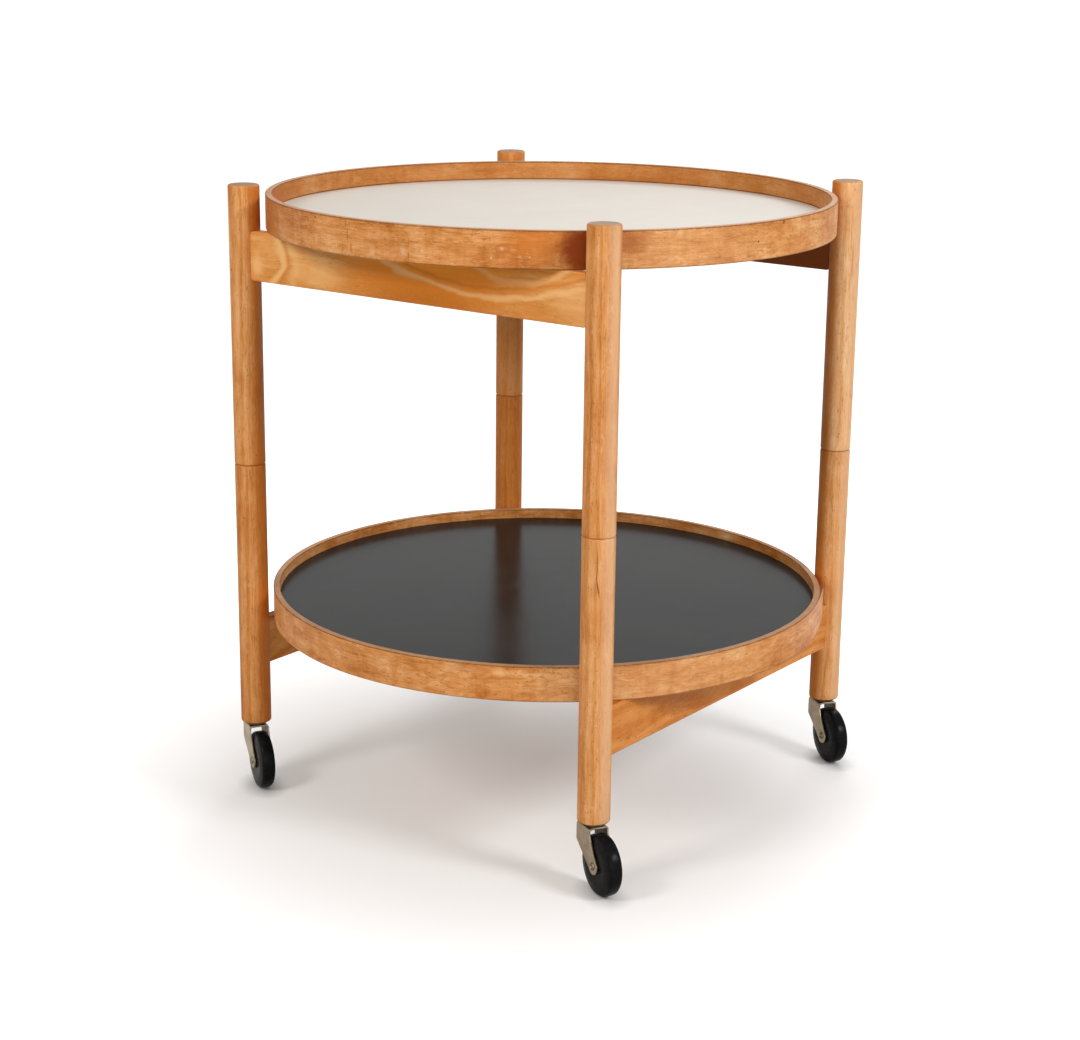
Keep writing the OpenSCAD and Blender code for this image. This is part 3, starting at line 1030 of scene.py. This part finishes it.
@dataclass
class WoodenFrame:
    """The posts and rails, the pins in their seams and the dowels in their joints."""

    post_r: float = 0.015
    top: float = 0.6
    foot: float = 0.064
    pith_depth: float = 0.045
    pith_top: float = 0.515
    pith_bottom: float = 0.150
    rail_palette: tuple[Colour, ...] = (
        (0.34, 0.085, 0.008), (0.52, 0.160, 0.020), (0.66, 0.268, 0.062),
        (0.78, 0.430, 0.175), (0.88, 0.610, 0.350),
    )
    crack_width: float = 0.0006
    crack_depth: float = 0.006
    crack_start: float = 0.0015
    crack: tuple[Point, ...] = (
        (0.2156, -0.2201, 0.3235), (0.2152, -0.2203, 0.3120), (0.2155, -0.2202, 0.3020),
        (0.2151, -0.2204, 0.2950), (0.2158, -0.2200, 0.2880), (0.2168, -0.2193, 0.2820),
        (0.2171, -0.2190, 0.2765),
    )

    def post_wood(self, half: str, spot: str) -> Finish:
        """The finish of one half of a post, with darker end grain and foot.

        Args:
            half: upper or lower.
            spot: which post it is.

        Returns:
            The material.
        """
        x, y = POSTS[spot]
        look = POST_LOOKS[spot]
        rows = []
        # Painted light on the post's sides: painted shade on the side that faces away from the
        # light, painted sheen on the side the key light falls on.
        for heading, *rest in look.sides:
            turn = math.radians(heading)
            rows.append((x + self.post_r * math.cos(turn), y + self.post_r * math.sin(turn),
                         0.5 * self.top, *rest))
        if half == "upper":
            tone, apart = look.upper_tone, 0.2
            rows.append((x, y, self.top - 0.0002, 0.05, 0.0012, (0.36, 0.130, 0.040),
                         0.60, 0.3, 0.6))
            rows.append((x, y, self.top + 0.0005, 0.0165, 0.0014, (0.20, 0.125, 0.068),
                         0.95, 0.75, 0.3))
        else:
            tone, apart = look.lower_tone, 0.9
            rows.append((x, y, self.foot + MM, 0.02, 0.010, (0.44, 0.17, 0.045), 0.5, 0.3, 0.5))
            rows.append((x, y, self.foot, 0.03, 0.0026, (0.12, 0.040, 0.012), 0.8, 0.55, 0.2))
        rings = Figure((x + 0.004, y + 0.003, 0.0), Grain.Z, 0.0024, 0.16, 0.010, (9.0, 9.0, 3.0))
        return HoneyWood(f"{half}_post_{spot}_wood", Grain.Z, tone=tone, streaks=0.70,
                         blotch=0.32, mottle=0.22, wear=0.30, crackle=0.20,
                         shift=(0.3 * x, 1.7 * y, apart), figures=(rings,),
                         marks=look.marks + Mark.table(*rows)).build()

    def rail_wood(self, node: str) -> Finish:
        """The finish of one rail, flamed along its length.

        Args:
            node: the rail's node.

        Returns:
            The material.
        """
        front = node == "top_rail_front"
        side = -1.0 if node in ("top_rail_front", "bottom_rail_left") else 1.0
        depth = side * (POST_AXIS - self.pith_depth)
        if node.startswith("top"):
            grain, tone, centre = Grain.X, 0.44, (0.0, depth, self.pith_top)
        else:
            grain, tone, centre = Grain.Y, 0.36, (depth, 0.0, self.pith_bottom)
        flame = Figure(centre, grain, 0.0060, 0.16 if front else 0.22, 0.060, grain.scale(2.0, 5.0))
        return HoneyWood(node + "_wood", grain, self.rail_palette, 0.52 if front else tone,
                         streaks=0.45, blotch=0.30, mottle=0.20, wear=0.2, crackle=0.15,
                         shift=(0.4, 1.1, side), figures=(flame,),
                         marks=RAIL_MARKS.get(node, ())).build()

    def cracked_post(self) -> Piece:
        """The lower front post with its drying crack.

        Returns:
            The piece that replaces the lower front post.
        """
        piece = Bench.copy_of("lower_post_front", "lower_post_front_cracked")
        x, y = POSTS["front"]
        ends = (self.crack[0], self.crack[-1])
        half = 0.5 * self.crack_width
        outline = []
        for side, row in ((1, self.crack), (-1, self.crack[-2:0:-1])):
            for point in row:
                out = Vector((point[0] - x, point[1] - y, 0)).normalized()
                across = Vector((-out.y, out.x, 0))
                wide = 0.0 if point in ends else side * half
                outline.append(tuple(Vector(point) + wide * across + self.crack_start * out))
        crack_x, crack_y, _ = self.crack[0]
        inward = Vector((x - crack_x, y - crack_y, 0)).normalized() * self.crack_depth
        tool = Bench.slab("crack_tool", outline, tuple(inward))
        Bench.cut(piece, tool)
        Bench.finish(piece, 30.0)
        return piece

    def build(self) -> None:
        """Models and dresses the whole frame."""
        dowel = HoneyWood("dowel_wood", Grain.X, tone=0.7).build()
        pin = AgedMetal("pin_steel", (0.52, 0.51, 0.49), (0.30, 0.26, 0.20), 0.30, 0.3).build()
        for half in ("upper", "lower"):
            for spot in POSTS:
                node = f"{half}_post_{spot}"
                wood = self.post_wood(half, spot)
                dress(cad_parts[node], wood)
                if node == "lower_post_front":
                    piece = self.cracked_post()
                    dress(piece, wood)
                    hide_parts(node)
                    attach(piece, "lower_right_frame")
                    log.info("modelled %s", piece.name)
        for node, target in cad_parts.items():
            if "_rail_" in node:
                dress(target, self.rail_wood(node))
            elif node.endswith("_dowels"):
                dress(target, dowel)
            elif node.startswith("hinge_pin"):
                dress(target, pin)


# ---------------------------------------------------------------- trays


@dataclass
class Tray:
    """A round tray: a bent hoop with a lapped end, and a panel with a laminate on each face."""

    name: str
    foot: float
    lap_from: float
    lap_to: float
    lap_step: float
    lap_spring: float
    marks: tuple[Mark, ...]
    radius: float = 0.27355
    height: float = 0.0335
    overlap: float = 0.0004
    margin: float = 0.0006
    lap_start: float = 0.00012
    lap_edge: float = 0.00035
    lap_parts: int = 24

    def hoop_wood(self) -> Finish:
        """The finish of the hoop, its fibres running round the tray and its edges darkened.

        Returns:
            The material.
        """
        top = self.foot + self.height
        edges = (
            Mark((0.240, -0.120, self.foot + 0.017), (0.11, 0.11, 0.06), (0.80, 0.480, 0.260),
                 0.15, 0.2),
            *Mark.table(
                (0, 0, top - 0.0008, ENDLESS, 0.0009, (0.11, 0.048, 0.018), 0.72, 0.2, 1.6),
                (0, 0, top + 0.0003, ENDLESS, 0.0007, (0.42, 0.235, 0.125), 0.75, 0.5, 0.4),
                (0, 0, self.foot, ENDLESS, 0.0018, (0.15, 0.060, 0.020), 0.55, 0.1, 1.2),
            ),
        )
        return HoneyWood(self.name + "_hoop_wood", Grain.ROUND, tone=0.46, streaks=0.70,
                         blotch=0.55, mottle=0.50, wear=0.40, crackle=0.45,
                         shift=(0.6, 0.3, self.foot * 7), marks=self.marks + edges).build()

    def lap(self) -> Piece:
        """The lapped outer end of the hoop, thin at its start and springing off at its end.

        Returns:
            The finished piece.
        """
        low = self.foot + self.margin
        near = self.radius - self.overlap
        outer, inner = [], []
        start, end = math.radians(self.lap_from), math.radians(self.lap_to)
        for i in range(self.lap_parts + 1):
            t = i / self.lap_parts
            angle = start + (end - start) * t
            far = self.radius + self.lap_spring * t ** 3 + (self.lap_start + self.lap_step * t)
            inner.append((near * math.cos(angle), near * math.sin(angle), low))
            outer.append((far * math.cos(angle), far * math.sin(angle), low))
        piece = Bench.slab(self.name + "_hoop_lap", outer + inner[::-1],
                           (0, 0, self.height - 2 * self.margin))
        Bench.ease(piece, self.lap_edge)
        return Bench.finish(piece)

    def build(self, white: Finish, black: Finish, core: Finish) -> None:
        """Models the lap and dresses the tray.

        Args:
            white: the finish of the pale face.
            black: the finish of the black face.
            core: the finish of the panel's core.
        """
        wood = self.hoop_wood()
        faces = {"rim": wood, "core": core, "white_laminate": white, "black_laminate": black}
        for part, finish in faces.items():
            dress(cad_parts[f"{self.name}_{part}"], finish)
        piece = self.lap()
        dress(piece, wood)
        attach(piece, self.name)
        log.info("modelled %s", piece.name)


# ---------------------------------------------------------------- casters


@dataclass
class Caster:
    """A swivel caster: bent sheet fork, riveted axle and hard black wheel."""

    headings: dict[str, float] = field(default_factory=lambda: {
        "left": -31.0, "front": -27.0, "right": -33.0, "back": -30.0})
    wheel_r: float = 0.0285
    wheel_w: float = 0.016
    side_dome: float = 0.0022
    tread_crown: float = 0.0011
    bush_r: float = 0.00395
    hub_r: float = 0.00845
    trail: float = 0.018
    plate_top: float = 0.0612
    plate_back: float = 0.0135
    plate_front: float = 0.0105
    sheet: float = 0.0016
    bend_r: float = 0.0032
    fork_w: float = 0.0202
    ear_end_r: float = 0.00775
    axle_r: float = 0.0025
    head_r: float = 0.0038
    tool_half: float = 0.02
    blank: float = 0.06
    fork_edge: float = 0.00028

    def wheel(self) -> Piece:
        """The wheel about the Z axis: flat hub, domed sides, edged and crowned tread.

        Returns:
            The finished pattern.
        """
        w = 0.5 * self.wheel_w
        rim = self.wheel_r - self.tread_crown
        edge = (rim - 0.0005, w - self.side_dome - 0.0005)
        shoulder = (0.0212, w - 0.0007)
        lip = (edge[0] - 0.0004, edge[1] + 0.0009)
        side = [(self.bush_r, w - 0.0004), (self.bush_r + 0.0004, w), (self.hub_r, w),
                (self.hub_r + 0.0006, w - 0.0005)]
        side += sweep((self.hub_r + 0.0014, w - 0.0005), (0.7 * self.wheel_r, w - 0.0001),
                      shoulder, 5)
        side += sweep(shoulder, (0.0250, w - 0.0011), lip, 4)
        side += sweep(lip, (edge[0] + 0.0001, edge[1] + 0.0008), (edge[0], edge[1] + 0.0005), 2)
        side += arc(edge, 0.0005, 90, 20, 3)
        side += sweep((rim + 0.0003, w - self.side_dome - 0.0010), (self.wheel_r, 0.62 * w),
                      (self.wheel_r, 0.0), 5)
        profile = side + [(self.wheel_r, 0.0)] + [(r, -z) for r, z in side[::-1]]
        profile.append(profile[0])
        return Bench.turned("wheel_pattern", profile, 128)

    def axle(self) -> Piece:
        """The riveted axle about the Z axis, each head a rolled ring round a low button.

        Returns:
            The finished pattern.
        """
        rows = [(0.0, 0.00105), (0.0008, 0.00100), (0.0014, 0.00075), (0.0017, 0.00035),
                (0.0020, 0.00035), (0.0023, 0.0009), (0.0028, 0.00125), (0.0033, 0.0011),
                (self.head_r - 0.0001, 0.0006), (self.head_r, 0.0), (self.axle_r, 0.0)]
        head = [(r, 0.5 * self.fork_w + z) for r, z in rows]
        return Bench.turned("axle_pattern", head + [(r, -z) for r, z in head[::-1]], 64)

    def ear_outline(self) -> list[Point]:
        """The fork from the side: plate at the top, and an ear that runs out to the axle.

        Returns:
            The outline's points, in a plane beside the fork.
        """
        top = self.plate_top
        rear = arc((self.trail, self.wheel_r), self.ear_end_r, 212, 377, 20)
        head_rear = (-self.plate_back, top - 0.0155)
        head_front = (self.plate_front, top - 0.0045)
        rear_bend = (-self.plate_back + 0.00192, head_rear[1] - 0.0031)
        front_bend = (self.plate_front + 0.0024, top - 0.45 * (top - self.wheel_r))
        outline = [head_front, (self.plate_front, top + MM), (-self.plate_back, top + MM)]
        outline += sweep(head_rear, (-self.plate_back, rear_bend[1]), rear_bend, 6)
        outline += rear + sweep(rear[-1], front_bend, head_front, 12)[1:]
        return [(x, -self.tool_half, z) for x, z in outline]

    def fork(self) -> Piece:
        """The fork, bent from one sheet: plate on top and an ear on each side.

        Returns:
            The finished pattern, its inner faces in a set of their own.
        """
        half = 0.5 * self.fork_w
        bend = arc((-half + self.bend_r, self.plate_top - self.bend_r), self.bend_r, 180, 90, 6)
        side = [(-half, 0.0)] + bend
        path = side + [(-y, z) for y, z in side[::-1]]
        piece = Bench.polyline("fork_pattern", [(-self.tool_half, y, z) for y, z in path])
        bpy.ops.mesh.extrude_region_move(TRANSFORM_OT_translate={"value": (self.blank, 0, 0)})
        bpy.ops.mesh.select_all(action="SELECT")
        bpy.ops.mesh.normals_make_consistent(inside=False)
        Bench.hold(piece)
        outward = sum((face.normal.z for face in piece.data.polygons), 0.0) > 0
        Bench.modify(piece, "SOLIDIFY", thickness=self.sheet, offset=-1.0 if outward else 1.0,
                     use_even_offset=True)
        tool = Bench.slab("fork_tool", self.ear_outline(), (0, 2 * self.tool_half, 0))
        Bench.cut(piece, tool, "INTERSECT")
        Bench.finish(piece)
        Bench.ease(piece, self.fork_edge)
        Bench.finish(piece, 30.0, 1e-7)
        # The inner faces and the plate's underside take the second, near-black finish, painted
        # shade for the dark inside of the fork.
        for face in piece.data.polygons:
            y = face.center.y
            under = face.normal.z < -0.5 and face.center.z > self.plate_top - 2 * self.sheet
            face.material_index = int(under or face.normal.y * y < -0.5 * abs(y))
        return piece

    def build(self) -> None:
        """Models the caster's pieces once, and puts a dressed copy at the foot of each post."""
        nickel = AgedMetal("fork_nickel", (0.36, 0.29, 0.20), (0.20, 0.145, 0.085), 0.40, 0.6)
        # Painted shade: a near-black finish for the inside of the fork.
        fork_inner_shade = AgedMetal("fork_inside_painted_shade", (0.10, 0.085, 0.065), (0.05, 0.035, 0.022), 0.50, 0.8)
        steel = AgedMetal("axle_steel", (0.20, 0.165, 0.115), (0.085, 0.060, 0.035), 0.34, 0.7)
        # Painted shade: the socket and the stem are made near black for the shadow gap under the
        # post's foot.
        socket = AgedMetal("socket_steel", (0.045, 0.032, 0.020), (0.03, 0.018, 0.010), 0.60, 0.8)
        stem = AgedMetal("stem_steel", (0.13, 0.11, 0.085), (0.06, 0.045, 0.03), 0.45, 0.7).build()
        kept = {"socket": socket.build(), "stem": stem, "bush": stem}
        patterns = {"wheel": self.wheel(), "axle": self.axle(), "fork": self.fork()}
        finishes = {"wheel": [HardRubber("wheel_rubber").build()], "axle": [steel.build()],
                    "fork": [nickel.build(), fork_inner_shade.build()]}
        upright = Matrix.Rotation(math.radians(90), 4, "X")
        on_axle = Matrix.Translation((self.trail, 0, self.wheel_r)) @ upright
        for spot, heading in self.headings.items():
            turn = Matrix.Rotation(math.radians(heading), 4, "Z")
            foot = Matrix.Translation((*POSTS[spot], 0)) @ turn
            for kind, pattern in patterns.items():
                where = foot if kind == "fork" else foot @ on_axle
                piece = Bench.placed(pattern, f"{kind}_{spot}_fine", where)
                dress(piece, *finishes[kind])
                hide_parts(f"{kind}_{spot}")
                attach(piece, ("rolling_" if kind == "wheel" else "caster_") + spot)
                log.info("modelled %s", piece.name)
            for kind, finish in kept.items():
                dress(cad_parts[f"{kind}_{spot}"], finish)
        Bench.clear()
        for pattern in patterns.values():
            pattern.select_set(True)
        bpy.ops.object.delete()


# ---------------------------------------------------------------- studio


@dataclass(frozen=True)
class StudioCamera:
    """The camera, where the photograph was taken from."""

    position: Point = (1.2582, -1.7149, 0.8465)
    azimuth: float = 36.47
    pitch: float = 15.33
    roll: float = 0.65
    focal_px: float = 2204.6

    def axes(self) -> tuple[Vector, Vector, Vector]:
        """Works out which way the camera points.

        Returns:
            Its right, up and forward directions.
        """
        az, pitch, roll = (math.radians(a) for a in (self.azimuth, self.pitch, self.roll))
        forward = Vector((-math.sin(az) * math.cos(pitch), math.cos(az) * math.cos(pitch),
                          -math.sin(pitch)))
        level = Vector((math.cos(az), math.sin(az), 0.0))
        plumb = level.cross(forward)
        right = math.cos(roll) * level + math.sin(roll) * plumb
        up = -math.sin(roll) * level + math.cos(roll) * plumb
        return right, up, forward

    def build(self) -> None:
        """Adds the camera and makes it the scene's own."""
        data = bpy.data.cameras.new("studio_camera")
        data.sensor_width = SENSOR_MM
        data.lens = self.focal_px * SENSOR_MM / IMAGE_W
        camera = bpy.data.objects.new("studio_camera", data)
        bpy.context.scene.collection.objects.link(camera)
        right, up, forward = self.axes()
        turn = Matrix((right, up, -forward)).transposed().to_4x4()
        camera.matrix_world = Matrix.Translation(self.position) @ turn
        bpy.context.scene.camera = camera


@dataclass(frozen=True)
class Softbox:
    """A softbox, square unless it has a breadth, placed as seen from the camera."""

    name: str
    right: float
    away: float
    height: float
    size: float
    power: float
    aim: float = 0.3
    tint: Colour = (1.0, 0.985, 0.965)
    breadth: float = 0.0

    def build(self, camera: StudioCamera) -> None:
        """Adds the light and aims it at the trolley.

        Args:
            camera: the camera, whose right and forward directions give its place.
        """
        side, _, forward = camera.axes()
        side = Vector((side.x, side.y, 0)).normalized()
        forward = Vector((forward.x, forward.y, 0)).normalized()
        data = bpy.data.lights.new(self.name, "AREA")
        data.shape = "RECTANGLE"
        data.size = self.breadth or self.size
        data.size_y = self.size
        data.energy = self.power
        data.color = self.tint
        lamp = bpy.data.objects.new(self.name, data)
        bpy.context.scene.collection.objects.link(lamp)
        lamp.location = self.right * side + self.away * forward + Vector((0, 0, self.height))
        lamp.rotation_mode = "QUATERNION"
        ahead = Vector((0, 0, self.aim)) - lamp.location
        lamp.rotation_quaternion = ahead.to_track_quat("-Z", "Y")


@dataclass
class Studio:
    """Floor, background and light."""

    camera: StudioCamera
    floor_half: float = 40.0
    glow_centre: Point = (0.03, -0.08, 0.0)
    glow_from: float = 0.19
    glow_to: float = 0.79
    glow_near: float = 0.295
    glow_far: float = 1.0
    painted_contact_shadow: float = 0.018
    warm_from: float = 0.10
    warm_to: float = 0.35
    warm_colour: Colour = (1.0, 0.88, 0.81)
    fade_from: float = 0.75
    fade_to: float = 1.6
    floor_colour: Colour = (0.63, 0.63, 0.635)
    floor_far_colour: Colour = (0.36, 0.35, 0.345)
    fill_low: float = 0.04
    fill_high: float = 0.36
    fill_colour: Colour = (1.0, 0.92, 0.82)
    softboxes: tuple[Softbox, ...] = (
        Softbox("right_softbox", 1.85, -1.40, 1.65, 0.65, 38.5, tint=(0.975, 0.985, 1.0)),
        Softbox("left_softbox", -1.50, -1.35, 1.60, 0.65, 22.0, tint=(1.0, 0.97, 0.92)),
        Softbox("front_softbox", 0.0, -2.7, 0.85, 1.3, 26.0, tint=(1.0, 0.98, 0.95), breadth=3.0),
        Softbox("top_softbox", 0.0, 0.20, 2.2, 1.6, 8.0, tint=(1.0, 0.98, 0.96)),
        Softbox("back_softbox", 0.5, 1.90, 2.10, 1.2, 22.0, tint=(1.0, 0.99, 0.98)),
    )

    def floor(self) -> None:
        """Adds the pale floor, which keeps the shadows, adds painted contact shadows and a painted
        warm shade near the trolley, and runs out to white.
        """
        Bench.clear()
        bpy.ops.mesh.primitive_plane_add(size=2 * self.floor_half)
        plane = bpy.context.active_object
        plane.name = "studio_floor"
        bench = ShaderBench("floor_white")
        # The glow is weakest round a point just in front of the trolley, which deepens the floor's
        # shade there as painted shade, and rises to white further out.
        away = bench.vector("SUBTRACT", bench.place, self.glow_centre)
        far = bench.vector("LENGTH", away)
        glow = bench.fit(far, self.glow_from, self.glow_to, self.glow_near, self.glow_far,
                         soft=True)
        # Painted contact shadows: ambient occlusion darkens the glow where things stand on the
        # floor.
        painted_contact_shadow = bench.add("AmbientOcclusion", {"Distance": self.painted_contact_shadow}, samples=8)
        glow = bench.calc("MULTIPLY", glow, bench.calc("POWER", painted_contact_shadow.outputs["AO"], 2.0))
        glow = bench.calc("MULTIPLY", glow, bench.seen())
        # Painted warm shade: the glow is tinted warm near the trolley.
        cool = bench.fit(far, self.warm_from, self.warm_to)
        warmth = bench.mix(cool, self.warm_colour, (1.0, 1.0, 1.0))
        fade = bench.fit(far, self.fade_from, self.fade_to, soft=True)
        tint = bench.mix(fade, self.floor_colour, self.floor_far_colour)
        body = bench.add("BsdfDiffuse", {"Color": tint})
        shine = bench.add("Emission", {"Color": warmth, "Strength": glow})
        bench.end(bench.add("AddShader", {0: body.outputs[0], 1: shine.outputs[0]}).outputs[0])
        dress(plane, bench.material)

    def world(self) -> None:
        """White to the camera and in reflections, a warm fill from above to everything else."""
        world = bpy.data.worlds.new("studio_world")
        bpy.context.scene.world = world
        bench = NodeBench(world, "World")
        height = bench.add("SeparateXYZ", {0: bench.add("TexCoord").outputs["Generated"]})
        rise = bench.fit(height.outputs["Z"], 0.0, 1.0, self.fill_low, self.fill_high)
        fill = bench.add("Background", {"Color": self.fill_colour, "Strength": rise})
        white = bench.add("Background", {"Color": (1.0, 1.0, 1.0), "Strength": 1.0})
        shaders = {0: bench.seen(), 1: fill.outputs[0], 2: white.outputs[0]}
        bench.end(bench.add("MixShader", shaders).outputs[0])

    def build(self) -> None:
        """Builds the whole studio."""
        self.camera.build()
        self.floor()
        self.world()
        for softbox in self.softboxes:
            softbox.build(self.camera)
        bpy.context.scene.view_settings.view_transform = "Standard"
        log.info("set up the studio")


def main() -> None:
    """Builds the trolley and its studio."""
    logging.basicConfig(level=logging.INFO, format="%(message)s")
    white = Laminate("white_laminate_face", (0.565, 0.532, 0.488), (0.53, 0.495, 0.442),
                     cloud=0.5, rough=0.52, shine=0.25, edge_tint=0.6).build()
    black = Laminate("black_laminate_face", (0.0095, 0.0095, 0.0095), (0.020, 0.020, 0.019),
                     cloud=0.7, rough=0.20, shine=0.05).build()
    core = HoneyWood("tray_core_wood", Grain.X, tone=0.75).build()
    WoodenFrame().build()
    Tray("top_tray", foot=0.5575, lap_from=-118.0, lap_to=-104.9, lap_step=0.00035,
         lap_spring=0.0, marks=TOP_TRAY_MARKS).build(white, black, core)
    Tray("lower_tray", foot=0.1695, lap_from=22.0, lap_to=33.0, lap_step=0.0018,
         lap_spring=0.0018, marks=LOWER_TRAY_MARKS).build(white, black, core)
    Caster().build()
    Studio(StudioCamera()).build()


if __name__ == "__main__":
    main()
